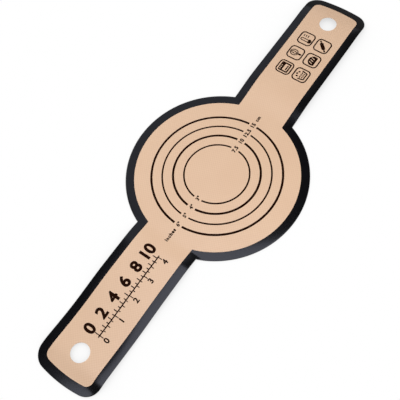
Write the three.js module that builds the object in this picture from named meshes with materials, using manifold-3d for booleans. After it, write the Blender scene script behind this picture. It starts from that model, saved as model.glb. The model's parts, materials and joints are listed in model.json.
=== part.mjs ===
// Silicone bread sling: a flat sheet for lowering a loaf into a hot pot. A round base carries
// the dough, and two strap handles stand up along the pot's wall and bend out over its rim.
// The sheet is glass cloth between two silicone coats, and a black silicone band wraps its
// whole cut edge. It lies on z = 0 with the base's centre over the origin and the handles
// along X. It is cut at four fold lines into a base, two handles and two grips.
// All sizes are in millimetres.

import * as THREE from "three";
import { mergeVertices } from "three/addons/utils/BufferGeometryUtils.js";
import Module from "manifold-3d";

// Outline of the sling
const BASE_DIAMETER = 210;
const SLING_LENGTH = 561;
const HANDLE_WIDTH = 80;
const END_ARC_RADIUS = 160;
const END_CORNER_RADIUS = 18;
const LEAST_CORNER_RADIUS = 1;

// Hanging hole near each handle's end
const HOLE_DIAMETER = 21;
const HOLE_FROM_END = 35.5;

// Fold lines: one just outside the notches, at the pot's floor, and one at the pot's rim
const NECK_FOLD_FROM_NOTCH = 2;
const GRIP_LENGTH = 82;
const FOLD_GAP = 0.3;

// Laminate
const COAT_THICKNESS = 0.25;
const CLOTH_THICKNESS = 0.2;

// Edge band: a channel whose two skins lap over the sheet and whose rim closes its cut edge
const BAND_WIDTH = 10;
const BAND_SKIN = 0.15;
const BAND_RIM = 1.2;
const BAND_EDGE_RADIUS = 0.3;
const BAND_EDGE_STEPS = 2;
const EDGE_CLEARANCE = 0.3;

// Ring scale printed on the base: every second ring is bold, and each is broken for its numeral
const RING_FIRST_DIAMETER = 75;
const RING_STEP = 25;
const RING_MARGIN = 15;
const RING_FINE_LINE = 1.5;
const RING_BOLD_LINE = 2.15;
const RING_BREAK = 10;
const PRINT_THICKNESS = 0.08;

// Facets of the round stretches, and the reach of a cutting tool past what it cuts
const CHORD_ERROR = 0.05;
const MERGE_DISTANCE = 1e-4;
const TOOL_OVERRUN = 5;

// Heights of the layers, from the floor up
const LOWER_COAT_Z = BAND_SKIN;
const CLOTH_Z = LOWER_COAT_Z + COAT_THICKNESS;
const UPPER_COAT_Z = CLOTH_Z + CLOTH_THICKNESS;
const TOP_Z = UPPER_COAT_Z + COAT_THICKNESS;
const BAND_HEIGHT = TOP_Z + BAND_SKIN;

// Places along the handles
const BASE_RADIUS = BASE_DIAMETER / 2;
const HALF_LENGTH = SLING_LENGTH / 2;
const HALF_WIDTH = HANDLE_WIDTH / 2;
const NOTCH_X = Math.sqrt(BASE_RADIUS ** 2 - HALF_WIDTH ** 2);
const NECK_FOLD_X = NOTCH_X + NECK_FOLD_FROM_NOTCH;
const RIM_FOLD_X = HALF_LENGTH - GRIP_LENGTH;
const HOLE_X = HALF_LENGTH - HOLE_FROM_END;

const wasm = await Module();
wasm.setup();

const tanSilicone = new THREE.MeshStandardMaterial({ color: 0xe2bd9d, roughness: 0.5, metalness: 0 });
const blackSilicone = new THREE.MeshStandardMaterial({ color: 0x1d1c1e, roughness: 0.4, metalness: 0 });
const glassCloth = new THREE.MeshStandardMaterial({ color: 0xe8e4d6, roughness: 0.7, metalness: 0 });
const printInk = new THREE.MeshStandardMaterial({ color: 0x231b18, roughness: 0.55, metalness: 0 });

// Closed geometry to a solid that can be cut
function solidFrom(geometry) {
  const bare = geometry.clone();
  bare.deleteAttribute("normal");
  bare.deleteAttribute("uv");
  const merged = mergeVertices(bare, MERGE_DISTANCE);
  const mesh = new wasm.Mesh({
    numProp: 3,
    vertProperties: merged.attributes.position.array,
    triVerts: new Uint32Array(merged.index.array),
  });
  return new wasm.Manifold(mesh);
}

// Cut solid back to a geometry that a mesh can show
function geometryFrom(solid) {
  const mesh = solid.getMesh();
  const geometry = new THREE.BufferGeometry();
  geometry.setAttribute("position", new THREE.BufferAttribute(mesh.vertProperties, 3));
  geometry.setIndex(new THREE.BufferAttribute(mesh.triVerts, 1));
  geometry.computeVertexNormals();
  return geometry;
}

// Points of an arc, in an even number of steps whose chords stay within the chord error, so that
// one point lies on the middle of the arc
function arcPoints(centreX, centreY, radius, fromAngle, toAngle) {
  const widestStep = 2 * Math.acos(1 - CHORD_ERROR / radius);
  const steps = 2 * Math.ceil(Math.abs(toAngle - fromAngle) / widestStep / 2);
  return Array.from({ length: steps + 1 }, (unused, step) => {
    const angle = fromAngle + ((toAngle - fromAngle) * step) / steps;
    return new THREE.Vector2(centreX + radius * Math.cos(angle), centreY + radius * Math.sin(angle));
  });
}

// Outline of the whole sling, set in from its outer edge: one end, which is a shallow arc between
// two round corners, and one half of the base, then the same half again turned half round. The
// corner's circle touches the handle's side and lies inside the end's circle, touching that too.
function slingOutline(inset) {
  const radius = BASE_RADIUS - inset;
  const halfWidth = HALF_WIDTH - inset;
  const endRadius = END_ARC_RADIUS - inset;
  const endCentreX = HALF_LENGTH - END_ARC_RADIUS;
  const corner = Math.max(END_CORNER_RADIUS - inset, LEAST_CORNER_RADIUS);
  const cornerY = halfWidth - corner;
  const cornerX = endCentreX + Math.sqrt((endRadius - corner) ** 2 - cornerY ** 2);
  const endAngle = Math.asin(cornerY / (endRadius - corner));
  const notchAngle = Math.asin(halfWidth / radius);
  const half = [
    ...arcPoints(cornerX, -cornerY, corner, -Math.PI / 2, -endAngle),
    ...arcPoints(endCentreX, 0, endRadius, -endAngle, endAngle).slice(1, -1),
    ...arcPoints(cornerX, cornerY, corner, endAngle, Math.PI / 2),
    ...arcPoints(0, 0, radius, notchAngle, Math.PI - notchAngle),
  ];
  const turned = half.map((point) => new THREE.Vector2(-point.x, -point.y));
  return new THREE.Shape([...half, ...turned]);
}

// Straight prism on an outline, standing on z = 0
function prism(outline, height) {
  return new THREE.ExtrudeGeometry(outline, { depth: height, bevelEnabled: false });
}

// The two hanging holes, as one cutting tool
function holeCutter() {
  const height = BAND_HEIGHT + 2 * TOOL_OVERRUN;
  const cutters = [-HOLE_X, HOLE_X].map((x) => {
    const circle = arcPoints(x, 0, HOLE_DIAMETER / 2, 0, 2 * Math.PI).slice(1);
    return solidFrom(prism(new THREE.Shape(circle), height).translate(0, 0, -TOOL_OVERRUN));
  });
  return cutters[0].add(cutters[1]);
}

const holes = holeCutter();

// One layer of the laminate as it is cut from the roll: the whole outline, holes punched
function sheetLayer(thickness) {
  const outline = slingOutline(BAND_RIM + EDGE_CLEARANCE);
  return solidFrom(prism(outline, thickness)).subtract(holes);
}

// The whole edge band before it is cut at the folds: a rounded blank, open in the middle, with
// the groove that the sheet's edge lies in
function edgeBand() {
  const blank = new THREE.ExtrudeGeometry(slingOutline(0), {
    depth: BAND_HEIGHT - 2 * BAND_EDGE_RADIUS,
    bevelThickness: BAND_EDGE_RADIUS,
    bevelSize: BAND_EDGE_RADIUS,
    bevelOffset: -BAND_EDGE_RADIUS,
    bevelSegments: BAND_EDGE_STEPS,
  }).translate(0, 0, BAND_EDGE_RADIUS);
  const window = prism(slingOutline(BAND_WIDTH), BAND_HEIGHT + 2 * TOOL_OVERRUN);
  window.translate(0, 0, -TOOL_OVERRUN);
  const groove = prism(slingOutline(BAND_RIM), TOP_Z - LOWER_COAT_Z).translate(0, 0, LOWER_COAT_Z);
  return solidFrom(blank).subtract(solidFrom(window)).subtract(solidFrom(groove)).subtract(holes);
}

// Box that keeps one stretch of the sling: the stretch between two x, and one side or both
function stretchBox(fromX, toX, side) {
  const depth = BASE_RADIUS + TOOL_OVERRUN;
  const height = BAND_HEIGHT + 2 * TOOL_OVERRUN;
  const width = side === "both" ? 2 * depth : depth;
  const centreY = { both: 0, back: depth / 2, front: -depth / 2 }[side];
  const box = new THREE.BoxGeometry(toX - fromX, width, height);
  return solidFrom(box.translate((fromX + toX) / 2, centreY, BAND_HEIGHT / 2));
}

// Panels from left to right, with the sides that their edge bands fall into
const reach = HALF_LENGTH + TOOL_OVERRUN;
const halfGap = FOLD_GAP / 2;
const panels = [
  { name: "left_grip", fromX: -reach, toX: -RIM_FOLD_X - halfGap, bandSides: ["both"] },
  {
    name: "left_handle",
    fromX: -RIM_FOLD_X + halfGap,
    toX: -NECK_FOLD_X - halfGap,
    bandSides: ["front", "back"],
  },
  {
    name: "base",
    fromX: -NECK_FOLD_X + halfGap,
    toX: NECK_FOLD_X - halfGap,
    bandSides: ["front", "back"],
  },
  {
    name: "right_handle",
    fromX: NECK_FOLD_X + halfGap,
    toX: RIM_FOLD_X - halfGap,
    bandSides: ["front", "back"],
  },
  { name: "right_grip", fromX: RIM_FOLD_X + halfGap, toX: reach, bandSides: ["both"] },
];

const coatSheet = sheetLayer(COAT_THICKNESS);
const clothSheet = sheetLayer(CLOTH_THICKNESS);
const wholeBand = edgeBand();

// Layers from the floor up: the two coats are the same sheet at two heights
const layers = [
  { name: "lower_coat", sheet: coatSheet, z: LOWER_COAT_Z, material: tanSilicone },
  { name: "glass_cloth", sheet: clothSheet, z: CLOTH_Z, material: glassCloth },
  { name: "upper_coat", sheet: coatSheet, z: UPPER_COAT_Z, material: tanSilicone },
];

function namedMesh(name, geometry, material) {
  const mesh = new THREE.Mesh(geometry, material);
  mesh.name = name;
  return mesh;
}

// One panel: its stretch of each layer, and of the edge band
function panelGroup(panel) {
  const group = new THREE.Group();
  const whole = stretchBox(panel.fromX, panel.toX, "both");
  for (const layer of layers) {
    const geometry = geometryFrom(layer.sheet.intersect(whole));
    const mesh = namedMesh(`${panel.name}_${layer.name}`, geometry, layer.material);
    mesh.position.z = layer.z;
    group.add(mesh);
  }
  for (const side of panel.bandSides) {
    const stretch = stretchBox(panel.fromX, panel.toX, side);
    const suffix = side === "both" ? "" : `_${side}`;
    const geometry = geometryFrom(wholeBand.intersect(stretch));
    group.add(namedMesh(`${panel.name}_edge_band${suffix}`, geometry, blackSilicone));
  }
  return group;
}

// Back half of one printed ring, cut square where the numeral breaks it
function ringArc(diameter, line) {
  const outer = (diameter + line) / 2;
  const inner = (diameter - line) / 2;
  const outerEnd = Math.asin(RING_BREAK / 2 / outer);
  const innerEnd = Math.asin(RING_BREAK / 2 / inner);
  const points = [
    ...arcPoints(0, 0, outer, outerEnd, Math.PI - outerEnd),
    ...arcPoints(0, 0, inner, Math.PI - innerEnd, innerEnd),
  ];
  return prism(new THREE.Shape(points), PRINT_THICKNESS);
}

// Rings from the first one out, as many as leave the margin to the edge band
function ringScale() {
  const group = new THREE.Group();
  group.position.z = TOP_Z;
  const largest = 2 * (BASE_RADIUS - BAND_WIDTH - RING_MARGIN);
  const count = Math.floor((largest - RING_FIRST_DIAMETER) / RING_STEP) + 1;
  for (let ring = 0; ring < count; ring += 1) {
    const diameter = RING_FIRST_DIAMETER + ring * RING_STEP;
    const line = ring % 2 === 0 ? RING_FINE_LINE : RING_BOLD_LINE;
    const geometry = ringArc(diameter, line);
    const back = namedMesh(`ring_${ring + 1}_back`, geometry, printInk);
    const front = namedMesh(`ring_${ring + 1}_front`, geometry, printInk);
    front.rotation.z = Math.PI;
    group.add(back, front);
  }
  return group;
}

const sling = new THREE.Group();
for (const panel of panels) {
  sling.add(panelGroup(panel));
}
sling.add(ringScale());

export default sling;
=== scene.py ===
# %% [markdown]
# # Silicone bread sling
# A bread sling is a thin baking mat with two handles. Dough rises on the round base, and the handles hang
# over the rim of a hot pot, so that the loaf can be lowered in and lifted out. The sheet is glass cloth
# between two coats of tan silicone, and a black silicone band seals its cut edge. A scale of rings is
# printed on the base.
#
# The flat solids of the sling are already packed: layers, bands and rings, with four fold lines that act
# as hinges. This notebook gives each of them its real surface. Every piece is first drawn on the flat
# sheet, where sizes are easy to think about, and then laid down with the soft waves of a loose sheet.

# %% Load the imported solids
import json
import math

import bmesh
import bpy
import numpy as np
from mathutils import Matrix, Vector, geometry


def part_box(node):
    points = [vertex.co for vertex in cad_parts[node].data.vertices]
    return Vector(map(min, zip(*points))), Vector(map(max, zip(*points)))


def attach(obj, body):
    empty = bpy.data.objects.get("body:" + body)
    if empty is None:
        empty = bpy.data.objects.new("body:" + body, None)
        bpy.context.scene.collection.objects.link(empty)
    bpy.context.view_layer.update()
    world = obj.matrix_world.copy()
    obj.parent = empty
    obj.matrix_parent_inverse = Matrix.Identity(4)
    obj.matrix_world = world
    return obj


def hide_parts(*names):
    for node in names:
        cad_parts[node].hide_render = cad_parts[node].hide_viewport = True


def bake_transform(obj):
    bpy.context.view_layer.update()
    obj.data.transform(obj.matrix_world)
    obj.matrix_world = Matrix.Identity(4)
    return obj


MM = 0.001
CM = 10 * MM
INCH = 25.4 * MM
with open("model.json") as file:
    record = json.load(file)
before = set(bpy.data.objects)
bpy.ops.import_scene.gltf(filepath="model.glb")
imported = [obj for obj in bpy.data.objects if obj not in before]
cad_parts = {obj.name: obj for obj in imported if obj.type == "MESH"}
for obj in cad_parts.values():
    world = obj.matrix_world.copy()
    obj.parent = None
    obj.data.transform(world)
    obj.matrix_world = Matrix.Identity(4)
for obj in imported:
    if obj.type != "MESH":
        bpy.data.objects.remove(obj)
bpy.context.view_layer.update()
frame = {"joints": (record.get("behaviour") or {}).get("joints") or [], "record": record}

# %% [markdown]
# ## Camera
# The printed rings are circles of known size, so the ellipses that they make in the picture tell where
# the camera stood: how high, how far off and how far it leaned. It comes first, because everything after
# it is judged through it. The sling's axes are written as the camera sees them (right, down, away from
# it), and the matrix with those rows turns anything the camera sees into the sling's own frame.

# %% Set the camera
PICTURE_SIZE = 400
SENSOR_WIDTH = 36.0
FOCAL_LENGTH_PX = 627.4
RING_CENTRE_PX = (216.65, 173.55)
RING_CENTRE_DEPTH = 713.5 * MM
CAMERA_ELEVATION = math.radians(64.65)
CAMERA_ROLL = math.radians(-12.40)
HANDLE_TURN = math.radians(43.45)


def new_object(name, data):
    """An object that is in the scene."""
    placed = bpy.data.objects.new(name, data)
    bpy.context.collection.objects.link(placed)
    return placed


level = Vector((math.cos(CAMERA_ROLL), math.sin(CAMERA_ROLL), 0))
upright = Vector((math.sin(CAMERA_ROLL), -math.cos(CAMERA_ROLL), 0))
receding = upright * math.sin(CAMERA_ELEVATION) + Vector((0, 0, math.cos(CAMERA_ELEVATION)))
along_handles = level * math.cos(HANDLE_TURN) + receding * math.sin(HANDLE_TURN)
across_handles = receding * math.cos(HANDLE_TURN) - level * math.sin(HANDLE_TURN)
camera_to_sling = Matrix((along_handles, across_handles, level.cross(receding)))

sight = [(pixel - PICTURE_SIZE / 2) / FOCAL_LENGTH_PX for pixel in RING_CENTRE_PX]
ring_centre_seen = Vector((*sight, 1)) * RING_CENTRE_DEPTH
ring_centre = Vector((0, 0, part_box("ring_1_back")[1].z))
camera_place = ring_centre - camera_to_sling @ ring_centre_seen
camera_facing = camera_to_sling @ Matrix.Diagonal((1, -1, -1))

camera = new_object("camera", bpy.data.cameras.new("camera"))
camera.data.sensor_width = SENSOR_WIDTH
camera.data.lens = FOCAL_LENGTH_PX * SENSOR_WIDTH / PICTURE_SIZE
camera.matrix_world = Matrix.Translation(camera_place) @ camera_facing.to_4x4()
bpy.context.scene.camera = camera
print("camera at", [round(c, 4) for c in camera_place], "lens", round(camera.data.lens, 2))

# %% [markdown]
# ## Sizes
# A size that the solids already have is read from them, so that the dressed sling follows if they change.
# Only what a box can't tell, such as a radius, is written as a number.

# %% Read the sizes
BASE_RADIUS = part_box("base_edge_band_back")[1].y
HALF_LENGTH, HALF_WIDTH, BAND_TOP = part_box("right_grip_edge_band")[1]
BAND_WIDTH = HALF_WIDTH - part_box("right_handle_edge_band_back")[0].y
COAT_EDGE = HALF_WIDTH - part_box("right_grip_upper_coat")[1].y
COAT_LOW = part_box("base_lower_coat")[0].z
COAT_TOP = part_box("base_upper_coat")[1].z
INK_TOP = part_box("ring_1_back")[1].z

fold_x = {joint["name"]: abs(joint["pos_m"][0]) for joint in frame["joints"]}
NECK_X = fold_x["right_neck_fold"]
RIM_X = fold_x["right_rim_fold"]
right_hole = frame["record"]["physics"]["openings"][1]["box_m"]
HOLE_X = (right_hole[0][0] + right_hole[1][0]) / 2
HOLE_RADIUS = 10.5 * MM
PANELS = {
    "base": (-NECK_X, NECK_X),
    "left_handle": (-RIM_X, -NECK_X),
    "left_grip": (-HALF_LENGTH, -RIM_X),
    "right_handle": (NECK_X, RIM_X),
    "right_grip": (RIM_X, HALF_LENGTH),
}
print("base radius", round(BASE_RADIUS / MM, 1), "mm, half length", round(HALF_LENGTH / MM, 1), "mm")

# %% [markdown]
# ## How the sheet lies
# The base lies flat. The handles remember being folded over a rim, so they don't quite. The left one climbs
# fast at the neck, sags with a slight twist past its middle, and lies on the table again at its tip. The
# right one climbs more slowly, has a low hump near its hole and bows down at its end. One function gives
# the height along the sling. The sheet bends but doesn't stretch, so a point's run along the table is found
# by adding up the level part of each small step, and its thickness stands square to the slope.

# %% Lay points of the flat sheet down
LEFT_LIFT = 3.2 * MM
LEFT_RISE = (92 * MM, 145 * MM)
LEFT_HASTE = 3
LEFT_SAG = 2.2 * MM
LEFT_SAG_REACH = (154 * MM, 262 * MM)
LEFT_TWIST = 0.028
LEFT_TWIST_REACH = (165 * MM, 290 * MM)
LEFT_DROOP = 3.0 * MM
LEFT_DROOP_REACH = (250 * MM, 275 * MM)
RIGHT_LIFT = 4.8 * MM
RIGHT_RISE = (89 * MM, 138 * MM)
RIGHT_HUMP = 0.8 * MM
RIGHT_HUMP_REACH = (218 * MM, 276 * MM)
RIGHT_DROOP = 4.8 * MM
RIGHT_DROOP_START = 245 * MM
STEPS_ALONG = 1200


def part_way(x, start, end):
    """How far x has come from start to end, from 0 to 1."""
    return np.clip((x - start) / (end - start), 0, 1)


def smooth_step(t):
    return t * t * (3 - 2 * t)


def wave(x, start, end, height):
    """One soft rise and fall between start and end."""
    return height * np.sin(math.pi * part_way(x, start, end)) ** 2


def left_lift(x):
    """Height of the left handle, which climbs fast at the neck and lies on the table at its tip."""
    climb = smooth_step(1 - (1 - part_way(x, *LEFT_RISE)) ** LEFT_HASTE)
    fall = smooth_step(part_way(x, *LEFT_DROOP_REACH))
    return LEFT_LIFT * climb - wave(x, *LEFT_SAG_REACH, LEFT_SAG) - LEFT_DROOP * fall


def right_lift(x):
    """Height of the right handle, which climbs slowly and bows down towards its end."""
    climb = smooth_step(part_way(x, *RIGHT_RISE))
    fall = part_way(x, RIGHT_DROOP_START, HALF_LENGTH) ** 2
    return RIGHT_LIFT * climb + wave(x, *RIGHT_HUMP_REACH, RIGHT_HUMP) - RIGHT_DROOP * fall


def lift(x):
    """Height of the sheet above the table."""
    return left_lift(-x) + right_lift(x)


stations = np.linspace(-HALF_LENGTH, HALF_LENGTH, STEPS_ALONG + 1)
climb = np.gradient(lift(stations), stations)
level_steps = np.sqrt(1 - climb**2)[:-1] * np.diff(stations)
run = np.concatenate(([0], np.cumsum(level_steps)))
run = run - np.interp(0, stations, run)


def lie(points):
    """Places of points (x, y, height in the sheet) once the sheet is laid down."""
    x, y, z = np.asarray(points, float).reshape(-1, 3).T
    sine = np.interp(x, stations, climb)
    cosine = np.sqrt(1 - sine**2)
    height = lift(x) + z * cosine - y * wave(-x, *LEFT_TWIST_REACH, LEFT_TWIST)
    return np.column_stack((np.interp(x, stations, run) - z * sine, y, height))


print("highest point of the sheet", round(lift(stations).max() / MM, 2), "mm")

# %% [markdown]
# ## From a flat drawing to a piece
# A finished piece is a mesh at the origin with its place in its points. Its flat place goes into a UV map
# before it is laid down, so a weave stays on the sheet when a handle folds.

# %% Helpers that lay a piece down and put it in place
SHARP_ANGLE = math.radians(35)
BEND_LENGTH = 25 * MM
FLAT_MAP = "flat_sheet"


def lay_down(name, mesh, material):
    """Turns a mesh drawn on the flat sheet into a piece of the sling."""
    flat = np.empty(len(mesh.vertices) * 3, np.float32)
    mesh.vertices.foreach_get("co", flat)
    flat = flat.reshape(-1, 3)
    corners = np.empty(len(mesh.loops), np.int32)
    mesh.loops.foreach_get("vertex_index", corners)
    flat_map = mesh.uv_layers.new(name=FLAT_MAP)
    flat_map.data.foreach_set("uv", flat[corners, :2].ravel())
    mesh.vertices.foreach_set("co", lie(flat).astype(np.float32).ravel())
    mesh.materials.clear()
    mesh.materials.append(material)
    mesh.shade_smooth()
    mesh.set_sharp_from_angle(angle=SHARP_ANGLE)
    mesh.update()
    return new_object(name, mesh)


def side_of(panel):
    """-1 for a panel of the left handle and 1 for one of the right handle."""
    return -1 if panel.startswith("left") else 1


def carry(piece, panel, node=None):
    """Hides the solid that a piece replaces, ties a piece of the base to the base's body, and bakes the
    place of any other piece into its points.
    """
    if node:
        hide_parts(node)
    if panel == "base":
        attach(piece, "base")
        return
    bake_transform(piece)


# %% [markdown]
# ## Nodes for finishes and prints
# Materials and Geometry Nodes are both graphs of nodes, so one small function adds a node, sets it up and
# links it. Most nodes have one output in use, so an input can simply name the node that it is linked to.
# Colours are written as they look on a screen (sRGB) and turned to linear light for the shader.

# %% Helpers for nodes and colours
def set_inputs(node, inputs):
    """Sets a node's inputs. Each is a value, or another node or one of its outputs to link."""
    for socket, value in inputs.items():
        if isinstance(value, bpy.types.Node):
            value = next(output for output in value.outputs if output.enabled)
        if isinstance(value, bpy.types.NodeSocket):
            node.id_data.links.new(value, node.inputs[socket])
        else:
            node.inputs[socket].default_value = value


def add_node(tree, kind, inputs=None, **settings):
    """Adds a node with its settings and its inputs."""
    node = tree.nodes.new(kind)
    for name, value in settings.items():
        setattr(node, name, value)
    set_inputs(node, inputs or {})
    return node


def colour(hex_code):
    """Linear RGBA from an sRGB hex colour."""
    parts = [int(hex_code[i : i + 2], 16) / 255 for i in (1, 3, 5)]
    linear = [part / 12.92 if part <= 0.04045 else ((part + 0.055) / 1.055) ** 2.4 for part in parts]
    return (*linear, 1.0)


def new_finish(name, inputs):
    """A material with a Principled shader. Gives the material, its tree and its shader."""
    material = bpy.data.materials.new(name)
    material.use_nodes = True
    shader = material.node_tree.nodes["Principled BSDF"]
    set_inputs(shader, inputs)
    return material, material.node_tree, shader


# %% [markdown]
# ## Finish: black silicone of the edge band
# The band is silicone rubber, moulded on between the smooth plates of a heated press, so it mirrors a lamp
# with an edge that is only a little soft. Silicone bends light less than most plastics (IOR 1.41), which is
# why its black stays deep. A fine grain in the roughness and a trace of bump keep it from looking wet.

# %% Make the black silicone
BLACK_GRAIN = 0.9 * MM
BLACK_CLOUD = 22 * MM
SILICONE_IOR = 1.41

black_silicone, tree, shader = new_finish("moulded_black_silicone", {"IOR": SILICONE_IOR})
place = add_node(tree, "ShaderNodeTexCoord").outputs["Object"]
cloud = add_node(tree, "ShaderNodeTexNoise", {"Vector": place, "Scale": 1 / BLACK_CLOUD, "Detail": 3.0})
grain = add_node(tree, "ShaderNodeTexNoise", {"Vector": place, "Scale": 1 / BLACK_GRAIN, "Detail": 2.0})
tint = add_node(tree, "ShaderNodeValToRGB", {"Fac": cloud})
for stop, (position, tone) in zip(tint.color_ramp.elements, ((0.3, "#060607"), (0.7, "#0B0B0D"))):
    stop.position = position
    stop.color = colour(tone)
satin = add_node(tree, "ShaderNodeMapRange", {"Value": grain, "To Min": 0.1, "To Max": 0.16})
relief = add_node(tree, "ShaderNodeBump", {"Height": grain, "Strength": 0.12, "Distance": 0.05 * MM})
set_inputs(shader, {"Base Color": tint, "Roughness": satin, "Normal": relief})
print("finish:", black_silicone.name)

# %% [markdown]
# ## Edge band
# The band wraps the cut edge like a hem: a low crown on top, a round outer bead, a flat underside, and a
# groove that holds the sheet. A swept curve would round off the notch where the handle meets the base, so
# the band is lofted: one outline function gives the same number of stations for every distance from the
# edge, and each row of the cross-section follows the outline at its own distance. The notch then comes out
# as a sharp mitre by itself.
#
# Bands, layers and prints lie a tenth of a millimetre apart, and a fold would bend them all alike. Between
# two rows of points a mesh is flat, so they all have their rows at the same places along the sling, close
# together where a fold would bend. At the ends the edge runs across the sling, so the band has rows across
# its underside and its groove too. No layer can then cut through its neighbour.

# %% Outlines at a distance from the edge
END_ARC = 160 * MM
END_CORNER = 18 * MM
END_CENTRE_X = HALF_LENGTH - END_ARC
CORNER_Y = HALF_WIDTH - END_CORNER
CORNER_X = END_CENTRE_X + math.sqrt((END_ARC - END_CORNER) ** 2 - CORNER_Y**2)
CORNER_TURN = math.asin(CORNER_Y / (END_ARC - END_CORNER))
ARC_STATIONS = 97
NECK_STATIONS = 5
CORNER_STATIONS = 13
END_STATIONS = 9
BEND_STEP = 1 * MM
SPAN_STEP = 3 * MM
GRID_STEP = 4 * MM


def evenly(start, end, step):
    """Places from start to end, about a step apart."""
    return np.linspace(start, end, round(abs(end - start) / step) + 1)


def from_fold(fold, end):
    """Places along a handle from a fold on: close together in the bend, wider after it."""
    bend_end = fold + BEND_LENGTH
    return np.concatenate((evenly(fold, bend_end, BEND_STEP), evenly(bend_end, end, SPAN_STEP)[1:]))


HANDLE_X = from_fold(NECK_X, RIM_X)
GRIP_X = from_fold(RIM_X, CORNER_X)


def rows_along(panel):
    """Places along the sling where the meshes of a panel have rows of points."""
    if panel == "base":
        return evenly(-NECK_X, NECK_X, GRID_STEP)
    if panel.endswith("handle"):
        return side_of(panel) * HANDLE_X
    return side_of(panel) * np.concatenate((GRIP_X, evenly(CORNER_X, HALF_LENGTH, SPAN_STEP)[1:]))


def around(turn, radius, centre=(0, 0)):
    """Points at the given angles of a circle or, with two radii, of an ellipse."""
    return np.column_stack((np.cos(turn), np.sin(turn))) * radius + centre


def base_side(inset, side):
    """From the right neck fold round one side of the base to the left neck fold."""
    radius = BASE_RADIUS - inset
    half = HALF_WIDTH - inset
    notch = math.asin(half / radius)
    arc = around(np.linspace(notch, math.pi - notch, ARC_STATIONS), radius)
    neck_x = np.linspace(NECK_X, arc[0, 0], NECK_STATIONS)[:-1]
    neck = np.column_stack((neck_x, np.full_like(neck_x, half)))
    return np.vstack((neck, arc, neck[::-1] * (-1, 1))) * (1, side)


def handle_side(inset, side, end):
    """Along one long edge of a handle, from the neck fold to the rim fold."""
    edge_y = np.full_like(HANDLE_X, (HALF_WIDTH - inset) * side)
    return np.column_stack((HANDLE_X * end, edge_y))


def grip_edge(inset, end):
    """From the rim fold round the arched end of a handle and back to the rim fold."""
    long_edge = np.column_stack((GRIP_X, np.full_like(GRIP_X, HALF_WIDTH - inset)))
    turn = np.linspace(math.pi / 2, CORNER_TURN, CORNER_STATIONS)[1:]
    corner = around(turn, END_CORNER - inset, (CORNER_X, CORNER_Y))
    turn = np.linspace(CORNER_TURN, 0, END_STATIONS)[1:]
    end_arc = around(turn, END_ARC - inset, (END_CENTRE_X, 0))
    half = np.vstack((long_edge, corner, end_arc))
    return np.vstack((half, half[-2::-1] * (1, -1))) * (end, 1)


# %% The band's cross-section
CROWN = 0.05 * MM
CROWN_ROWS = 11
BEAD_DEPTH = 0.5 * MM
BEAD_ROWS = 9
GROOVE_DEPTH = 1.2 * MM


def band_profile():
    """Rows of (distance from the edge, height) round the section, from the inner lip outwards."""
    inset = np.linspace(BAND_WIDTH, BEAD_DEPTH, CROWN_ROWS)
    height = BAND_TOP - CROWN * (2 * inset / BAND_WIDTH - 1) ** 2
    turn = np.linspace(math.pi / 2, -math.pi / 2, BEAD_ROWS)[1:]
    bead_inset = BEAD_DEPTH * (1 - np.cos(turn))
    bead_height = height[-1] / 2 * (1 + np.sin(turn))
    underside = [(distance, 0) for distance in inset[-2::-1]]
    groove_inset = np.linspace(BAND_WIDTH, GROOVE_DEPTH, CROWN_ROWS)
    groove = [(distance, COAT_LOW) for distance in groove_inset]
    groove += [(distance, COAT_TOP) for distance in groove_inset[::-1]]
    return [*zip(inset, height), *zip(bead_inset, bead_height), *underside, *groove]


profile = band_profile()
print("band section has", len(profile), "rows")


# %% Loft the bands
def loft_band(name, path):
    """A flat band mesh. path(inset) gives the outline that a row of the section follows."""
    rows = []
    for inset, height in profile:
        outline = path(inset)
        rows.append(np.column_stack((outline, np.full(len(outline), height))))
    count = len(rows[0])
    faces = []
    for row in range(len(rows)):
        here = row * count
        above = (row + 1) % len(rows) * count
        faces += [(here + i, here + i + 1, above + i + 1, above + i) for i in range(count - 1)]
    faces.append([row * count for row in range(len(rows))])
    faces.append([row * count + count - 1 for row in range(len(rows))])
    mesh = bpy.data.meshes.new(name)
    mesh.from_pydata(np.vstack(rows).tolist(), [], faces)
    shape = bmesh.new()
    shape.from_mesh(mesh)
    bmesh.ops.recalc_face_normals(shape, faces=shape.faces[:])
    shape.to_mesh(mesh)
    shape.free()
    return mesh


SIDES = {"front": -1, "back": 1}
ENDS = {"left": -1, "right": 1}
bands = {}
for side, sign in SIDES.items():
    bands["base_edge_band_" + side] = ("base", lambda inset, s=sign: base_side(inset, s))
    for end, x_sign in ENDS.items():
        node = f"{end}_handle_edge_band_{side}"
        bands[node] = (end + "_handle", lambda inset, s=sign, e=x_sign: handle_side(inset, s, e))
for end, x_sign in ENDS.items():
    bands[end + "_grip_edge_band"] = (end + "_grip", lambda inset, e=x_sign: grip_edge(inset, e))

for node, (panel, path) in bands.items():
    name = node.replace("edge_band", "edging")
    piece = lay_down(name, loft_band(name, path), black_silicone)
    carry(piece, panel, node)
print("bands:", len(bands))

# %% [markdown]
# ## Finish: tan silicone over glass cloth
# The coats are liquid silicone spread on glass cloth and cured between rollers, so the weave under them
# prints through as a faint check of over and under threads. The colour is a warm tan that clouds slightly
# where the coat is thicker. Two wave textures, one along each thread, are multiplied: where both are high
# or both are low a thread lies on top, which is what a plain weave does. The real threads are about 0.6 mm
# apart, too fine for a picture of the whole sling, so they are drawn wider.

# %% Make the tan silicone and the glass cloth
DRAWN_THREAD = 1.7 * MM
CLOUD_SIZE = 45 * MM
GRIT_SIZE = 1.2 * MM
GLASS_IOR = 1.5
# A wave texture of scale 1 repeats after this length.
WAVE_PERIOD = 2 * math.pi / 20


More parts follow.
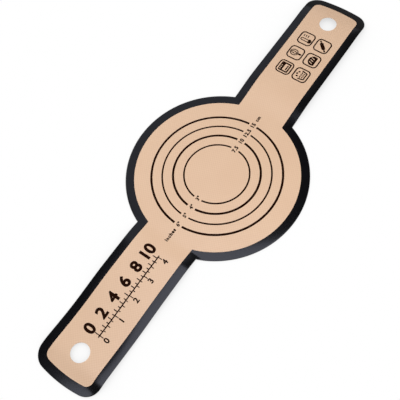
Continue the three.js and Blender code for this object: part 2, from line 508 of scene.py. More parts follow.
def weave_height(tree, place):
    """Height of a plain weave on the flat map, from -1 to 1."""
    centred = []
    for direction in "XY":
        inputs = {"Vector": place, "Scale": WAVE_PERIOD / (2 * DRAWN_THREAD)}
        ridge = add_node(tree, "ShaderNodeTexWave", inputs, bands_direction=direction).outputs["Fac"]
        doubled = {0: ridge, 1: 2.0, 2: -1.0}
        centred.append(add_node(tree, "ShaderNodeMath", doubled, operation="MULTIPLY_ADD"))
    return add_node(tree, "ShaderNodeMath", {0: centred[0], 1: centred[1]}, operation="MULTIPLY")


def make_tan_silicone():
    material, tree, shader = new_finish("calendered_tan_silicone", {"IOR": SILICONE_IOR})
    place = add_node(tree, "ShaderNodeUVMap", uv_map=FLAT_MAP)
    weave = weave_height(tree, place)
    on_top = add_node(tree, "ShaderNodeMapRange", {"Value": weave, "From Min": -1.0})
    tones = {"A": colour("#E6C19A"), "B": colour("#EFCCA7")}
    threads = add_node(tree, "ShaderNodeMix", {"Factor": on_top, **tones}, data_type="RGBA")
    cloud = add_node(tree, "ShaderNodeTexNoise", {"Vector": place, "Scale": 1 / CLOUD_SIZE, "Detail": 3.0})
    spread = {"From Min": 0.35, "From Max": 0.65, "To Max": 0.35}
    share = add_node(tree, "ShaderNodeMapRange", {"Value": cloud, **spread})
    tones = {"A": threads, "B": colour("#E5BF99")}
    clouded = add_node(tree, "ShaderNodeMix", {"Factor": share, **tones}, data_type="RGBA")
    grit = add_node(tree, "ShaderNodeTexNoise", {"Vector": place, "Scale": 1 / GRIT_SIZE, "Detail": 2.0})
    satin = add_node(tree, "ShaderNodeMapRange", {"Value": grit, "To Min": 0.24, "To Max": 0.36})
    relief = add_node(tree, "ShaderNodeBump", {"Height": weave, "Strength": 0.25, "Distance": 0.03 * MM})
    set_inputs(shader, {"Base Color": clouded, "Roughness": satin, "Normal": relief})
    return material


def make_glass_cloth():
    material, tree, shader = new_finish("woven_glass_cloth", {"IOR": GLASS_IOR, "Roughness": 0.55})
    weave = weave_height(tree, add_node(tree, "ShaderNodeUVMap", uv_map=FLAT_MAP))
    on_top = add_node(tree, "ShaderNodeMapRange", {"Value": weave, "From Min": -1.0})
    tones = {"A": colour("#D9D3C4"), "B": colour("#F1EDE2")}
    threads = add_node(tree, "ShaderNodeMix", {"Factor": on_top, **tones}, data_type="RGBA")
    relief = add_node(tree, "ShaderNodeBump", {"Height": weave, "Strength": 0.6, "Distance": 0.1 * MM})
    set_inputs(shader, {"Base Color": threads, "Normal": relief})
    return material


tan_silicone = make_tan_silicone()
glass_cloth = make_glass_cloth()
print("finishes:", tan_silicone.name, glass_cloth.name)

# %% [markdown]
# ## The sheet: two coats and the cloth between them
# Each layer is a thin slab with the outline of its panel and, in the grips, the punched hanging hole. An
# outline with a hole is filled by a constrained Delaunay triangulation, with a grid of points inside so
# that the slab can wave and fold. Both panels at a fold line have the same points on it, so no gap opens.

# %% Outlines of the panels
FOLD_STATIONS = 27
HOLE_STATIONS = 64


def fold_line(x, start_y, end_y):
    y = np.linspace(start_y, end_y, FOLD_STATIONS)[1:-1]
    return np.column_stack((np.full_like(y, x), y))


def panel_outline(panel):
    """The cut edge of a panel's layers, as one closed loop."""
    half = HALF_WIDTH - COAT_EDGE
    if panel == "base":
        back = base_side(COAT_EDGE, 1)
        front = base_side(COAT_EDGE, -1)[::-1]
        return np.vstack((back, fold_line(-NECK_X, half, -half), front, fold_line(NECK_X, -half, half)))
    end = side_of(panel)
    if panel.endswith("handle"):
        back = handle_side(COAT_EDGE, 1, end)
        front = handle_side(COAT_EDGE, -1, end)[::-1]
        rim = fold_line(end * RIM_X, half, -half)
        return np.vstack((back, rim, front, fold_line(end * NECK_X, -half, half)))
    return np.vstack((grip_edge(COAT_EDGE, end), fold_line(end * RIM_X, -half, half)))


def hanging_hole(panel):
    """The punched hole of a grip as a loop, or None on the other panels."""
    if not panel.endswith("grip"):
        return None
    turn = np.linspace(0, 2 * math.pi, HOLE_STATIONS, endpoint=False)
    return around(turn, HOLE_RADIUS, (side_of(panel) * HOLE_X, 0))


# %% Fill the panels with points and triangles
HOLE_MARGIN = 2 * MM
MERGE_DISTANCE = 1e-7
INSIDE_ONLY = 1


def grid_inside(panel, outline):
    """Grid points that lie inside a panel, clear of its edges and of its hole."""
    low = outline.min(axis=0)
    high = outline.max(axis=0)
    x, y = np.meshgrid(rows_along(panel), evenly(low[1], high[1], GRID_STEP))
    points = np.column_stack((x.ravel(), y.ravel()))
    margin = GRID_STEP / 2
    clear = (BEND_STEP / 2, margin)
    keep = np.all((points > low + clear) & (points < high - clear), axis=1)
    if panel == "base":
        keep &= np.hypot(*points.T) < BASE_RADIUS - COAT_EDGE - margin
    if panel.endswith("grip"):
        hole_x = side_of(panel) * HOLE_X
        keep &= np.hypot(points[:, 0] - hole_x, points[:, 1]) > HOLE_RADIUS + HOLE_MARGIN
        from_end_centre = np.hypot(np.abs(points[:, 0]) - END_CENTRE_X, points[:, 1])
        keep &= from_end_centre < END_ARC - COAT_EDGE - margin
        corner = np.abs(points) - (CORNER_X, CORNER_Y)
        in_corner = np.all(corner > 0, axis=1)
        keep &= ~in_corner | (np.hypot(*corner.T) < END_CORNER - COAT_EDGE - margin)
    return points[keep]


def fill_panel(panel):
    """Points and triangles of a panel on the flat sheet."""
    outline = panel_outline(panel)
    hole = hanging_hole(panel)
    loops = [outline] if hole is None else [outline, hole]
    edges = []
    first = 0
    for loop in loops:
        edges += [(first + i, first + (i + 1) % len(loop)) for i in range(len(loop))]
        first += len(loop)
    points = np.vstack((*loops, grid_inside(panel, outline)))
    places, _, triangles, *_ = geometry.delaunay_2d_cdt(
        [Vector(point) for point in points], edges, [], INSIDE_ONLY, MERGE_DISTANCE
    )
    places = np.array([tuple(place) for place in places])
    if hole is not None:
        centre = hole.mean(axis=0)
        middles = places[np.array(triangles)].mean(axis=1)
        outside = np.hypot(*(middles - centre).T) > HOLE_RADIUS * math.cos(math.pi / HOLE_STATIONS)
        triangles = [triangle for triangle, kept in zip(triangles, outside) if kept]
    return places, triangles


# %% Give the layers their thickness
def thicken(shape, low, high):
    """Turns the flat faces of a bmesh into closed slabs between two heights."""
    for vertex in shape.verts:
        vertex.co.z = low
    grown = bmesh.ops.extrude_face_region(shape, geom=shape.faces[:])
    for part in grown["geom"]:
        if isinstance(part, bmesh.types.BMVert):
            part.co.z = high
    bmesh.ops.recalc_face_normals(shape, faces=shape.faces[:])


def slab(name, places, triangles, low, high):
    mesh = bpy.data.meshes.new(name)
    mesh.from_pydata([(x, y, 0) for x, y in places], [], triangles)
    shape = bmesh.new()
    shape.from_mesh(mesh)
    loose = [vertex for vertex in shape.verts if not vertex.link_faces]
    bmesh.ops.delete(shape, geom=loose, context="VERTS")
    thicken(shape, low, high)
    shape.to_mesh(mesh)
    shape.free()
    return mesh


LAYERS = {
    "lower_coat": ("lower_skin", tan_silicone, "tan_silicone"),
    "glass_cloth": ("woven_glass", glass_cloth, "glass_cloth"),
    "upper_coat": ("upper_skin", tan_silicone, "tan_silicone"),
}
for panel in PANELS:
    places, triangles = fill_panel(panel)
    for layer, (short_name, finish, slot) in LAYERS.items():
        node = f"{panel}_{layer}"
        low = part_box(node)[0].z
        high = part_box(node)[1].z
        name = f"{panel}_{short_name}"
        piece = lay_down(name, slab(name, places, triangles, low, high), finish)
        carry(piece, panel, node)

# %% [markdown]
# ## Finish: print
# The scale is printed in very dark brown silicone ink, which cures into the coat, so it is matt and a
# trace uneven in density. It stands less than a tenth of a millimetre proud.

# %% Make the ink
INK_CLOUD = 3 * MM

little_gloss = {"IOR": SILICONE_IOR, "Specular IOR Level": 0.02}
print_ink, tree, shader = new_finish("screen_printed_ink", little_gloss)
place = add_node(tree, "ShaderNodeUVMap", uv_map=FLAT_MAP)
density = add_node(tree, "ShaderNodeTexNoise", {"Vector": place, "Scale": 1 / INK_CLOUD, "Detail": 2.0})
tint = add_node(tree, "ShaderNodeValToRGB", {"Fac": density})
for stop, (position, tone) in zip(tint.color_ramp.elements, ((0.35, "#1E0D05"), (0.7, "#281207"))):
    stop.position = position
    stop.color = colour(tone)
matt = add_node(tree, "ShaderNodeMapRange", {"Value": density, "To Min": 0.55, "To Max": 0.7})
set_inputs(shader, {"Base Color": tint, "Roughness": matt})
print("finish:", print_ink.name)

# %% [markdown]
# ## Ring lines
# Four rings measure the loaf, at 7.5, 10, 12.5 and 15 cm across. Every second one is bolder, and each is
# broken on both sides for its numeral. Thin lines pale in a small picture, so all four are drawn about half
# a millimetre wider than the solids. An arc swept with a low dome is a job for Geometry Nodes: the tree
# takes the radius, the line's width and the break, and works out where the arc starts and ends.

# %% Helpers to make and run a Geometry Nodes tree
def new_tree(name, **sockets):
    """An empty tree with named inputs of each kind. Gives the tree and its input sockets."""
    tree = bpy.data.node_groups.new(name, "GeometryNodeTree")
    for kind, names in sockets.items():
        for socket in names:
            tree.interface.new_socket(socket, in_out="INPUT", socket_type="NodeSocket" + kind)
    tree.interface.new_socket("Geometry", in_out="OUTPUT", socket_type="NodeSocketGeometry")
    return tree, tree.nodes.new("NodeGroupInput").outputs


def end_tree(tree, shape, ink):
    """Ends a tree in real geometry with its material."""
    real = add_node(tree, "GeometryNodeRealizeInstances", {"Geometry": shape})
    inked = add_node(tree, "GeometryNodeSetMaterial", {"Geometry": real, "Material": ink})
    add_node(tree, "NodeGroupOutput", {"Geometry": inked})
    print("tree:", tree.name, len(tree.nodes), "nodes")


def take_mesh(carrier):
    """The mesh that an object's modifiers or curves make. The object is removed."""
    evaluated = carrier.evaluated_get(bpy.context.evaluated_depsgraph_get())
    mesh = bpy.data.meshes.new_from_object(evaluated)
    bpy.data.objects.remove(carrier)
    return mesh


def grow(tree, sizes):
    """Runs a tree with the sizes given by input name, and returns a plain mesh."""
    carrier = new_object(tree.name, bpy.data.meshes.new(tree.name))
    modifier = carrier.modifiers.new(tree.name, "NODES")
    modifier.node_group = tree
    for item in tree.interface.items_tree:
        if item.in_out == "INPUT":
            modifier[item.identifier] = sizes[item.name]
    return take_mesh(carrier)


# %% The ring tree
RING_POINTS = 129
DOME_POINTS = 9

ring_tree, size = new_tree(
    "ring_line",
    Float=("Radius", "Line width", "Ink height", "Break", "First turn"),
    Material=("Ink",),
)
half_break = add_node(ring_tree, "ShaderNodeMath", {0: size["Break"], 1: 0.5}, operation="MULTIPLY")
sine = add_node(ring_tree, "ShaderNodeMath", {0: half_break, 1: size["Radius"]}, operation="DIVIDE")
angle = add_node(ring_tree, "ShaderNodeMath", {0: sine}, operation="ARCSINE")
start = add_node(ring_tree, "ShaderNodeMath", {0: size["First turn"], 1: angle}, operation="ADD")
sweep = add_node(ring_tree, "ShaderNodeMath", {0: angle, 1: -2.0, 2: math.pi}, operation="MULTIPLY_ADD")
ring_turn = {"Radius": size["Radius"], "Start Angle": start, "Sweep Angle": sweep}
arc = add_node(ring_tree, "GeometryNodeCurveArc", {"Resolution": RING_POINTS, **ring_turn})
half_turn = {"Radius": 1.0, "Start Angle": math.pi, "Sweep Angle": math.pi}
dome = add_node(ring_tree, "GeometryNodeCurveArc", {"Resolution": DOME_POINTS, **half_turn})
half_width = add_node(ring_tree, "ShaderNodeMath", {0: size["Line width"], 1: 0.5}, operation="MULTIPLY")
dome_sides = {"X": half_width, "Y": size["Ink height"], "Z": 1.0}
dome_size = add_node(ring_tree, "ShaderNodeCombineXYZ", dome_sides)
section = add_node(ring_tree, "GeometryNodeTransform", {"Geometry": dome, "Scale": dome_size})
closed = add_node(ring_tree, "GeometryNodeSetSplineCyclic", {"Geometry": section, "Cyclic": True})
upright_arc = add_node(ring_tree, "GeometryNodeSetCurveNormal", {"Curve": arc}, mode="Z_UP")
line_shape = {"Curve": upright_arc, "Profile Curve": closed, "Fill Caps": True}
swept = add_node(ring_tree, "GeometryNodeCurveToMesh", line_shape)
end_tree(ring_tree, swept, size["Ink"])

# %% Print the rings
FINE_LINE = 1.5 * MM
BOLD_LINE = 2.15 * MM
INK_SPREAD = 0.48 * MM
RING_LINES = {1: FINE_LINE, 2: BOLD_LINE, 3: FINE_LINE, 4: BOLD_LINE}
ring_break = 2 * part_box("ring_1_back")[0].y
RING_RADII = {}
for number, line in RING_LINES.items():
    RING_RADII[number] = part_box(f"ring_{number}_back")[1].y - line / 2
    sizes = {"Radius": RING_RADII[number], "Line width": line + INK_SPREAD, "Break": ring_break}
    sizes |= {"Ink height": INK_TOP - COAT_TOP, "Ink": print_ink}
    for side, first_turn in (("back", 0.0), ("front", math.pi)):
        node = f"ring_{number}_{side}"
        mesh = grow(ring_tree, sizes | {"First turn": first_turn})
        mesh.transform(Matrix.Translation((0, 0, COAT_TOP)))
        piece = lay_down(node + "_line", mesh, print_ink)
        carry(piece, "base", node)
    print("ring", number, "radius", round(RING_RADII[number] / MM, 2), "mm")

# %% [markdown]
# ## Numerals
# Numerals are text turned into a flat mesh. Their size is set by the height of a digit, measured on the
# font itself, and their outline is pushed outwards, because thin strokes pale in a small picture too. A
# print that lies across a fold is cut there into one part for each panel, and it is sliced at the rows of
# points of the sheet, so that it bends with it.

# %% Helpers for flat prints
LEAST_MITRE = 0.6


def add_to(shape, mesh, x=0.0, y=0.0, scale=1.0):
    """Adds a flat mesh to a bmesh at a place on the sheet."""
    mesh.transform(Matrix.Translation((x, y, 0)) @ Matrix.Scale(scale, 4))
    shape.from_mesh(mesh)
    bpy.data.meshes.remove(mesh)


def flat_mesh(curve):
    """The filled face of a flat curve or text."""
    mesh = take_mesh(new_object(curve.name, curve))
    bpy.data.curves.remove(curve)
    return mesh


def text_mesh(text, spacing=1.0):
    """Text on its baseline, centred, in the font's own measure."""
    curve = bpy.data.curves.new("text", "FONT")
    curve.body = text
    curve.align_x = "CENTER"
    curve.space_character = spacing
    return flat_mesh(curve)


def bolder(mesh, weight):
    """Pushes the outline of a flat mesh outwards. Every point of a filled text lies on its outline."""
    shape = bmesh.new()
    shape.from_mesh(mesh)
    push = {vertex: [] for vertex in shape.verts}
    for edge in shape.edges:
        if len(edge.link_faces) == 1:
            start, end = edge.verts
            outward = Vector((end.co.y - start.co.y, start.co.x - end.co.x, 0)).normalized()
            if outward.dot(edge.link_faces[0].calc_center_median() - start.co) > 0:
                outward.negate()
            push[start].append(outward)
            push[end].append(outward)
    for vertex, (first, second) in push.items():
        mitre = max(1 + first.dot(second), LEAST_MITRE)
        vertex.co += (first + second) * weight / mitre
    shape.to_mesh(mesh)
    shape.free()
    return mesh


def slice_across(shape, x, keep=None):
    """Cuts a flat bmesh along a line across the sling, and keeps one side if told so."""
    everything = shape.verts[:] + shape.edges[:] + shape.faces[:]
    bmesh.ops.bisect_plane(
        shape,
        geom=everything,
        dist=MERGE_DISTANCE,
        plane_co=(x, 0, 0),
        plane_no=(1, 0, 0),
        clear_inner=keep == "right",
        clear_outer=keep == "left",
    )


def print_on(name, panel, drawing):
    """Prints the part of a flat drawing that lies on one panel."""
    shape = drawing.copy()
    low, high = PANELS[panel]
    slice_across(shape, low, keep="right")
    slice_across(shape, high, keep="left")
    for x in rows_along(panel):
        slice_across(shape, x)
    bmesh.ops.dissolve_degenerate(shape, dist=MERGE_DISTANCE, edges=shape.edges[:])
    thicken(shape, COAT_TOP, INK_TOP)
    mesh = bpy.data.meshes.new(name)
    shape.to_mesh(mesh)
    shape.free()
    piece = lay_down(name, mesh, print_ink)
    carry(piece, panel)
    print(name, len(mesh.polygons), "faces")


# %% Number the rings
CM_LABEL = {"height": 4.5 * MM, "weight": 0.053, "spacing": 1.1}
INCH_LABEL = {"height": 4.1 * MM, "weight": 0.046, "spacing": 1.1}
WORD_LABEL = {"height": 3.8 * MM, "weight": 0.06, "spacing": 1.25}
INCH_SHIFT = 0.8 * MM
INCH_WORD_X = -89.6 * MM
CM_WORD_X = 85.6 * MM
INCHES = {1: '3"', 2: '4"', 3: '5"', 4: '6"'}
CENTIMETRES = {1: "7.5", 2: "10", 3: "12.5", 4: "15"}

digit_reach = [vertex.co.y for vertex in text_mesh("0").vertices]
FONT_DIGIT = max(digit_reach) - min(digit_reach)
labels = [(INCHES[ring], INCH_SHIFT - RING_RADII[ring], INCH_LABEL) for ring in RING_RADII]
labels += [(CENTIMETRES[ring], RING_RADII[ring], CM_LABEL) for ring in RING_RADII]
labels += [("inches", INCH_WORD_X, WORD_LABEL), ("cm", CM_WORD_X, WORD_LABEL)]
drawing = bmesh.new()
for text, x, look in labels:
    label = bolder(text_mesh(text, look["spacing"]), look["weight"])
    add_to(drawing, label, x, -look["height"] / 2, look["height"] / FONT_DIGIT)
print_on("ring_numerals", "base", drawing)
drawing.free()

# %% [markdown]
# ## Ruler on the left handle
# The left handle carries a plain ruler, which suits a baking mat: bold centimetres above a line and inches
# below it. The ticks repeat, so Geometry Nodes place them: points on a line, one thin bar for each, in
# three lengths.

# %% The tick tree
tick_tree, size = new_tree(
    "ruler_ticks",
    Int=("Count",),
    Float=("Pitch", "Line width", "Short", "Middle", "Long", "Middle every", "Long every"),
    Material=("Ink",),
)
step = add_node(tick_tree, "ShaderNodeCombineXYZ", {"X": size["Pitch"]})
points = add_node(tick_tree, "GeometryNodeMeshLine", {"Count": size["Count"], "Offset": step})
index = add_node(tick_tree, "GeometryNodeInputIndex")
length = size["Short"]
for kind in ("Middle", "Long"):
    every = size[kind + " every"]
    left_over = add_node(tick_tree, "ShaderNodeMath", {0: index, 1: every}, operation="MODULO")
    is_kind = add_node(tick_tree, "ShaderNodeMath", {0: left_over, 1: 0.5}, operation="LESS_THAN")
    length = add_node(tick_tree, "ShaderNodeMix", {"Factor": is_kind, "A": length, "B": size[kind]})
one_square = {"Size X": 1.0, "Size Y": 1.0, "Vertices X": 2, "Vertices Y": 2}
bar = add_node(tick_tree, "GeometryNodeMeshGrid", one_square)
raised = add_node(tick_tree, "GeometryNodeTransform", {"Geometry": bar, "Translation": (0, 0.5, 0)})
bar_sides = {"X": size["Line width"], "Y": length, "Z": 1.0}
bar_size = add_node(tick_tree, "ShaderNodeCombineXYZ", bar_sides)
bars = {"Points": points, "Instance": raised, "Scale": bar_size}
ticks = add_node(tick_tree, "GeometryNodeInstanceOnPoints", bars)
end_tree(tick_tree, ticks, size["Ink"])

# %% Print the ruler
RULER_START = -220 * MM
RULER_LINE = (-222.5 * MM, -116.5 * MM)
LINE_Y = -5.4 * MM
LINE_WIDTH = 1.4 * MM
CM_NUMERALS = {"numbers": range(0, 11, 2), "pitch": CM, "height": 13.0 * MM, "y": 2.0 * MM, "weight": 0.042}
INCH_NUMERALS = {"numbers": range(5), "pitch": INCH, "height": 6.4 * MM, "y": -17.8 * MM, "weight": 0.035}
CM_TICKS = {"Count": 21, "Pitch": CM / 2, "Line width": 1.1 * MM}
CM_TICKS |= {"Short": 2.4 * MM, "Middle": 4.2 * MM, "Long": 5.4 * MM, "Middle every": 2, "Long every": 10}
INCH_TICKS = {"Count": 17, "Pitch": INCH / 4, "Line width": 1.0 * MM}
INCH_TICKS |= {"Short": 2.0 * MM, "Middle": 3.0 * MM, "Long": 4.4 * MM, "Middle every": 2, "Long every": 4}

drawing = bmesh.new()
line = bmesh.ops.create_grid(drawing, x_segments=1, y_segments=1, size=0.5)
line_length = RULER_LINE[1] - RULER_LINE[0]
bmesh.ops.scale(drawing, vec=(line_length, LINE_WIDTH, 1), verts=line["verts"])
bmesh.ops.translate(drawing, vec=(sum(RULER_LINE) / 2, LINE_Y, 0), verts=line["verts"])
up_ticks = grow(tick_tree, CM_TICKS | {"Ink": print_ink})
add_to(drawing, up_ticks, RULER_START, LINE_Y + LINE_WIDTH / 2)
down_ticks = grow(tick_tree, INCH_TICKS | {"Ink": print_ink})
down_ticks.transform(Matrix.Rotation(math.pi, 4, "X"))
add_to(drawing, down_ticks, RULER_START, LINE_Y - LINE_WIDTH / 2)
for scale in (CM_NUMERALS, INCH_NUMERALS):
    for number in scale["numbers"]:
        numeral = bolder(text_mesh(str(number)), scale["weight"])
        x = RULER_START + number * scale["pitch"]
        add_to(drawing, numeral, x, scale["y"], scale["height"] / FONT_DIGIT)
for panel in ("left_handle", "left_grip"):
    print_on(panel + "_ruler", panel, drawing)
drawing.free()

# %% [markdown]
# ## Kitchen signs on the right handle
# Six small framed signs show what the sling is for: an oven, a whisk, a thermometer, a basin, a loaf and a
# rolling pin. The frames repeat on a grid, so Geometry Nodes make them from one rounded square. Each
# picture is a few closed loops in millimetres, filled by the even-odd rule: a loop in another is a hole.

# %% The frame tree
ROUNDING_POINTS = 7

frame_tree, size = new_tree(
    "sign_frames",
    Float=("Frame", "Corner", "Line width", "Column pitch", "Row pitch"),
    Material=("Ink",),
)
sides = {"Width": size["Frame"], "Height": size["Frame"]}
square = add_node(frame_tree, "GeometryNodeCurvePrimitiveQuadrilateral", sides)
rounding = {"Curve": square, "Count": ROUNDING_POINTS, "Radius": size["Corner"]}
rounded = add_node(frame_tree, "GeometryNodeFilletCurve", rounding, mode="POLY")
inner = add_node(frame_tree, "ShaderNodeMath", {0: size["Line width"], 1: -0.5}, operation="MULTIPLY")
outer = add_node(frame_tree, "ShaderNodeMath", {0: size["Line width"], 1: 0.5}, operation="MULTIPLY")
line_start = add_node(frame_tree, "ShaderNodeCombineXYZ", {"X": inner})
line_end = add_node(frame_tree, "ShaderNodeCombineXYZ", {"X": outer})
flat_line = add_node(frame_tree, "GeometryNodeCurvePrimitiveLine", {"Start": line_start, "End": line_end})
level_square = add_node(frame_tree, "GeometryNodeSetCurveNormal", {"Curve": rounded}, mode="Z_UP")
frame_shape = {"Curve": level_square, "Profile Curve": flat_line}
ribbon = add_node(frame_tree, "GeometryNodeCurveToMesh", frame_shape)
width = add_node(frame_tree, "ShaderNodeMath", {0: size["Column pitch"], 1: 2.0}, operation="MULTIPLY")
grid_size = {"Size X": width, "Size Y": size["Row pitch"], "Vertices X": 3, "Vertices Y": 2}
grid = add_node(frame_tree, "GeometryNodeMeshGrid", grid_size)
frames = add_node(frame_tree, "GeometryNodeInstanceOnPoints", {"Points": grid, "Instance": ribbon})
end_tree(frame_tree, frames, size["Ink"])


# %% Loops that the pictures are made of, in millimetres
def round_loop(centre, radii, first=0.0, last=360.0, steps=28):
    turn = np.radians(np.linspace(first, last, steps, endpoint=last - first < 360))
    return around(turn, radii, centre)


def box_loop(centre, sides, radius):
    corners = []
    for sign_x, sign_y, first in ((1, 1, 0), (-1, 1, 90), (-1, -1, 180), (1, -1, 270)):
        middle = np.array(centre) + (np.array(sides) / 2 - radius) * (sign_x, sign_y)
        corners.append(round_loop(middle, (radius, radius), first, first + 90, 5))
    return np.vstack(corners)


def bar_loop(start, end, width):
    start, end = np.array(start, float), np.array(end, float)
    turn = math.degrees(math.atan2(*(end - start)[::-1]))
    radii = (width / 2, width / 2)
    tip = round_loop(end, radii, turn - 90, turn + 90, 9)
    tail = round_loop(start, radii, turn + 90, turn + 270, 9)
    return np.vstack((tip, tail))


def ripple_loop(y, reach, width, height=0.5, waviness=1.9, steps=25):
    x = np.linspace(-reach, reach, steps)
    crest = y + height * np.sin(x * waviness)
    return np.vstack((np.column_stack((x, crest)), np.column_stack((x, crest - width))[::-1]))


def oven_sign():
    knobs = [round_loop((x, 4.1), (0.75, 0.75)) for x in (-3.8, -1.3, 1.2)]
    window = box_loop((0, -1.5), (9.0, 5.6), 0.7)
    tray = box_loop((0, -2.6), (7.0, 1.5), 0.5)
    return [box_loop((0, 0), (12.6, 12.0), 1.4), window, tray, *knobs]


def whisk_sign():
    wires = [round_loop((0, 2.0), radii) for radii in ((4.4, 5.0), (3.3, 3.9), (1.9, 3.7), (0.8, 2.8))]
    return [*wires, box_loop((0, -4.9), (2.2, 4.0), 0.8)]


def thermometer_sign():
    marks = [box_loop((3.6, y), (3.2, 1.1), 0.4) for y in (4.6, 2.0, -0.6)]
    tube = [bar_loop((-2, -1.2), (-2, 4.2), 4.2), bar_loop((-2, -1.2), (-2, 4.2), 2.1)]
    return [*tube, round_loop((-2, -4.7), (2.9, 2.6)), *marks]


def basin_sign():
    tub = np.array([(-6.4, 1.4), (-5.0, -5.8), (5.0, -5.8), (6.4, 1.4)])
    inside = np.array([(4.9, 1.4), (3.8, -4.4), (-3.8, -4.4), (-4.9, 1.4)])
    ripples = [ripple_loop(0.6, 4.0, 1.1), ripple_loop(-2.0, 3.4, 1.1)]
    drops = [round_loop(centre, (1.0, 1.3)) for centre in ((-3, 3.8), (0, 5.2), (3, 3.8))]
    return [np.vstack((tub, inside)), *ripples, *drops]


def loaf_sign():
    crust = round_loop((0, -1.2), (6.4, 5.4), 0, 180, 25)
    foot = [(-5.8, -4.6), (5.8, -4.6)]
    cuts = [bar_loop((x - 0.7, -1.6), (x + 0.7, 1.8), 0.9) for x in (-3.0, 0.0, 3.0)]
    return [np.vstack((crust, foot)), *cuts]


def rolling_pin_sign():
    ends = [bar_loop((s * 4.5, s * 4.5), (s * 5.5, s * 5.5), 1.7) for s in (-1, 1)]
    return [bar_loop((-2.4, -2.4), (2.4, 2.4), 4.2), *ends]


def picture_mesh(loops):
    curve = bpy.data.curves.new("picture", "CURVE")
    curve.dimensions = "2D"
    curve.fill_mode = "BOTH"
    for loop in loops:
        spline = curve.splines.new("POLY")
        spline.points.add(len(loop) - 1)
        spline.use_cyclic_u = True
        for point, (x, y) in zip(spline.points, loop):
            point.co = (x, y, 0, 1)
    return flat_mesh(curve)


# %% Print the signs
FRAME_SIDE = 18 * MM
FRAME_CORNER = 4.4 * MM
FRAME_LINE = 1.6 * MM
SIGN_MIDDLE = (187.3 * MM, -0.3 * MM)
COLUMN_PITCH = 24.9 * MM
ROW_PITCH = 22.8 * MM
PICTURE_SCALE = 1.08 * MM
SIGN_ROWS = {
    1: (oven_sign, whisk_sign, thermometer_sign),
    -1: (basin_sign, loaf_sign, rolling_pin_sign),
}

drawing = bmesh.new()
frame_sizes = {"Frame": FRAME_SIDE, "Corner": FRAME_CORNER, "Line width": FRAME_LINE}
frame_sizes |= {"Column pitch": COLUMN_PITCH, "Row pitch": ROW_PITCH, "Ink": print_ink}
add_to(drawing, grow(frame_tree, frame_sizes), *SIGN_MIDDLE)
for row, signs in SIGN_ROWS.items():
    for column, sign in enumerate(signs):
        x = SIGN_MIDDLE[0] + (column - 1) * COLUMN_PITCH
        y = SIGN_MIDDLE[1] + row * ROW_PITCH / 2
        add_to(drawing, picture_mesh(sign()), x, y, PICTURE_SCALE)
for panel in ("right_handle", "right_grip"):
    print_on(panel + "_signs", panel, drawing)
drawing.free()

# %% [markdown]
# ## Table
# The sling lies on a table in a white room. A painted table would hide a grip that is folded down past its
# edge, so this one is clear like glass, and the white is the room's. It only darkens where the sling covers
# it: the Ambient Occlusion node measures how much of the sky above a point is covered, which gives the soft
# shadow that a wide lamp casts. The Light Path node keeps that shade to rays that show something, to the
# eye or in a mirror, and lets light through.

# %% Lay the table
TABLE_SIZE = 6.0
TABLE_Z = -0.05 * MM
SHADOW_DEPTH = 0.35
SHADOW_REACH = 120 * MM
SHADOW_SAMPLES = 16

table_mesh = bpy.data.meshes.new("table")
half_table = TABLE_SIZE / 2
corners = [(x * half_table, y * half_table, TABLE_Z) for x, y in ((-1, -1), (1, -1), (1, 1), (-1, 1))]
table_mesh.from_pydata(corners, [], [(0, 1, 2, 3)])
table = new_object("table", table_mesh)


def seen_rays(tree):
    """1 for a ray from the eye, and 1 for a ray from a glossy surface, as two outputs."""
    rays = add_node(tree, "ShaderNodeLightPath").outputs
    direct = add_node(tree, "ShaderNodeMath", {0: rays["Is Camera Ray"], 1: rays["Is Transmission Ray"]})
    return direct, rays["Is Glossy Ray"]


clear_table = bpy.data.materials.new("clear_table")
clear_table.use_nodes = True
tree = clear_table.node_tree
tree.nodes.clear()
direct, mirrored = seen_rays(tree)
seen = add_node(tree, "ShaderNodeMath", {0: direct, 1: mirrored}, use_clamp=True)
depth = add_node(tree, "ShaderNodeMath", {0: seen, 1: SHADOW_DEPTH}, operation="MULTIPLY")
sky = add_node(tree, "ShaderNodeAmbientOcclusion", {"Distance": SHADOW_REACH}, samples=SHADOW_SAMPLES)
shade = add_node(tree, "ShaderNodeMix", {"Factor": depth, "A": 1.0, "B": sky.outputs["AO"]})
clear = add_node(tree, "ShaderNodeBsdfTransparent", {"Color": shade})
add_node(tree, "ShaderNodeOutputMaterial", {"Surface": clear})
table_mesh.materials.append(clear_table)
print("table", TABLE_SIZE, "m wide")

# %% [markdown]
# ## Lamps
# Black rubber looks flat unless it mirrors something, so a wide cool softbox overhead ends where the sheen
# on the near bands does, and a dim panel beyond the far handle greys the far bands. Two smaller lamps, in
# front and behind, light the sheet from where no band mirrors them to the camera.

# %% Set the lamps
COOL_WHITE = "#E8EBFF"
WARM_WHITE = "#FFFBF6"
CENTRE = (0, 0, 0)


def softbox(name, place, size, radiance, tint, target=None):
    """A lamp that faces down or a target. Its power follows from how bright its face looks."""
    lamp = bpy.data.lights.new(name, "AREA")
    lamp.shape = "RECTANGLE"
    lamp.size, lamp.size_y = size
    lamp.energy = radiance * math.pi * size[0] * size[1]
    lamp.color = colour(tint)[:3]
    aim = Vector(target) - Vector(place) if target else Vector((0, 0, -1))
    holder = new_object(name, lamp)
    holder.location = place
    holder.rotation_euler = aim.to_track_quat("-Z", "Y").to_euler()


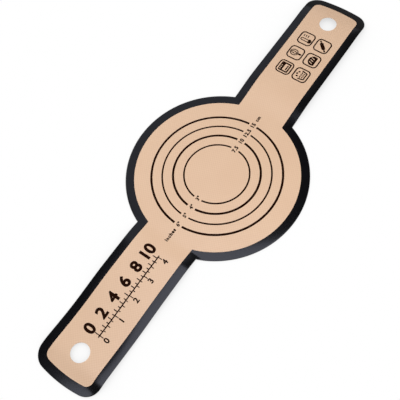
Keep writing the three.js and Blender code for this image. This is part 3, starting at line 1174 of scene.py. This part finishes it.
softbox("overhead_softbox", place=(-0.175, -0.17, 1.2), size=(1.05, 1.16), radiance=2.82, tint=COOL_WHITE)
softbox("far_panel", place=(1.0, 0.75, 1.2), size=(1.72, 0.7), radiance=0.72, tint=COOL_WHITE)
softbox(
    "front_softbox", place=(0, -0.4, 0.42), size=(0.35, 0.35), radiance=2.3, tint=WARM_WHITE, target=CENTRE
)
softbox(
    "back_softbox", place=(0, 0.8, 0.55), size=(0.45, 0.45), radiance=5.6, tint=WARM_WHITE, target=CENTRE
)
print("lamps:", len(bpy.data.lights))

# %% [markdown]
# ## The room
# The room is white to the eye on all sides. As light it is dim above the table, so that it fills the
# shadows only a little, and bright below it, where it stands for the light that a white table throws back.
# Glossy surfaces mirror white below the table and, above it, a wall that fades to a dark ceiling, because
# the ceiling is what the bands mirror to the camera.

# %% Set the room
WHITE = 1.0
FILL_LIGHT = 0.07
TABLE_LIGHT = 0.75
MIRRORED_WALL = 0.3
WALL_TOP = math.sin(math.radians(24))
CEILING_START = math.sin(math.radians(64))

room = bpy.data.worlds.new("studio")
bpy.context.scene.world = room
room.use_nodes = True
tree = room.node_tree
direction = add_node(tree, "ShaderNodeTexCoord").outputs["Generated"]
height = add_node(tree, "ShaderNodeSeparateXYZ", {"Vector": direction}).outputs["Z"]
below = add_node(tree, "ShaderNodeMath", {0: height, 1: 0.0}, operation="LESS_THAN")
light = add_node(tree, "ShaderNodeMix", {"Factor": below, "A": FILL_LIGHT, "B": TABLE_LIGHT})
fade = {"From Min": WALL_TOP, "From Max": CEILING_START, "To Min": MIRRORED_WALL, "To Max": FILL_LIGHT}
wall = add_node(tree, "ShaderNodeMapRange", {"Value": height, **fade})
mirror = add_node(tree, "ShaderNodeMix", {"Factor": below, "A": wall, "B": WHITE})
direct, mirrored = seen_rays(tree)
lit = add_node(tree, "ShaderNodeMix", {"Factor": mirrored, "A": light, "B": mirror})
strength = add_node(tree, "ShaderNodeMix", {"Factor": direct, "A": lit, "B": WHITE})
set_inputs(tree.nodes["Background"], {"Color": (1, 1, 1, 1), "Strength": strength})
bpy.context.scene.view_settings.view_transform = "Standard"
print("room:", room.name)
